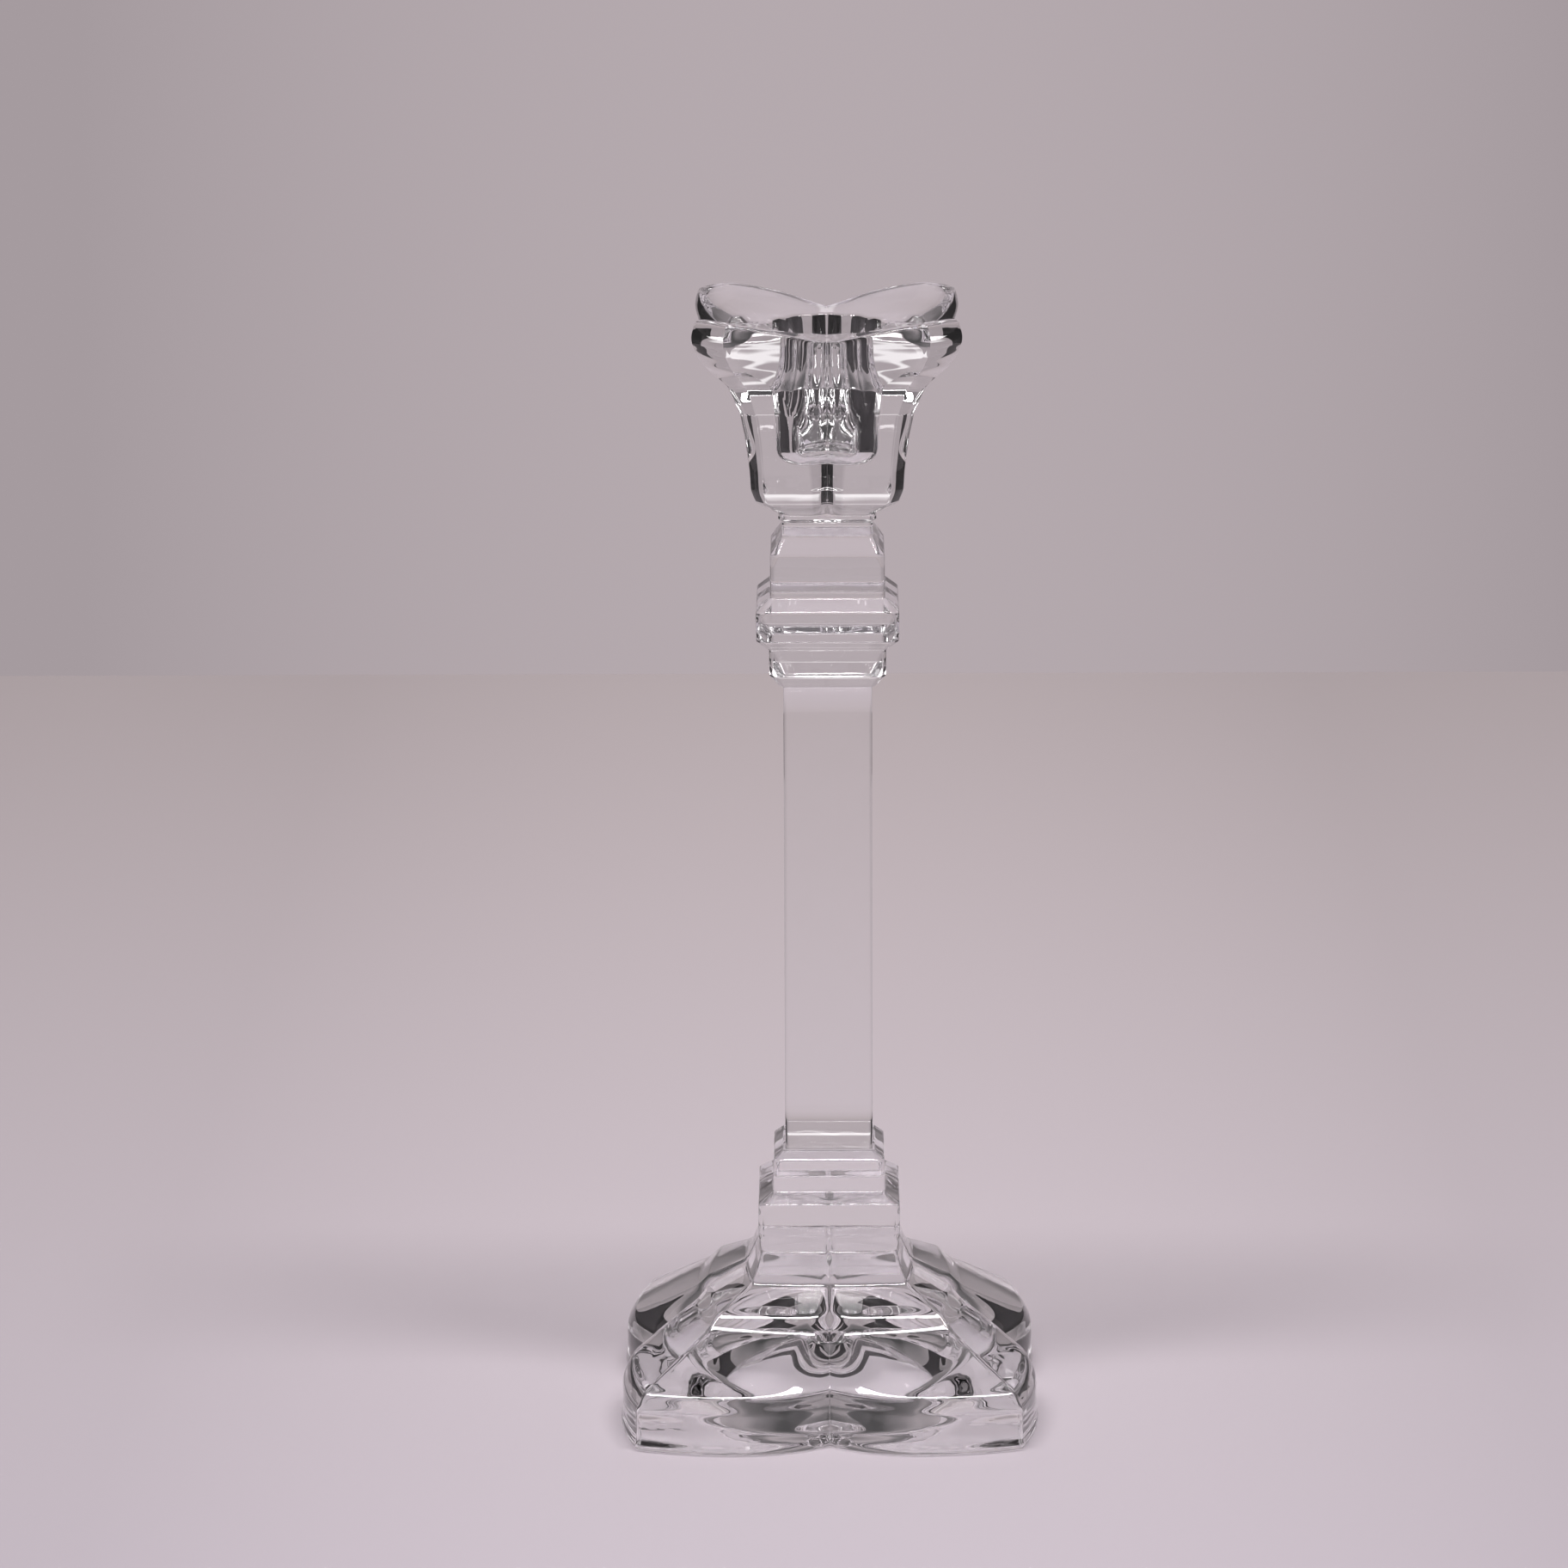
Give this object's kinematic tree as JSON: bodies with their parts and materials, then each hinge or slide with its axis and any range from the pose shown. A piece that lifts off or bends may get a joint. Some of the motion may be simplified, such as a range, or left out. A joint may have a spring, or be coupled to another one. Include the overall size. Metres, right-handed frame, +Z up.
{
  "type": "glass candlestick",
  "caption": "Tall pressed-crystal candlestick: square column, stepped collars, four-lobed foot and petal-rimmed cup with a fluted candle socket.",
  "frame": {"origin": "centre of the foot's resting face, on the table", "axes": "+Z up along the column, X and Y square to the sides of the column and through the clefts of the foot"},
  "size_m": [0.094, 0.094, 0.2507],
  "materials": {
    "crystal": "clear, fire-polished lead crystal",
    "clear_adhesive": "water-clear cured adhesive film"
  },
  "bodies": {
    "root": {"foot": "crystal", "foot_bond": "clear_adhesive", "lower_collar": "crystal", "column_base_bond": "clear_adhesive", "column": "crystal", "column_top_bond": "clear_adhesive", "upper_collar": "crystal", "cup_bond": "clear_adhesive", "candle_cup": "crystal"}
  },
  "joints": []
}
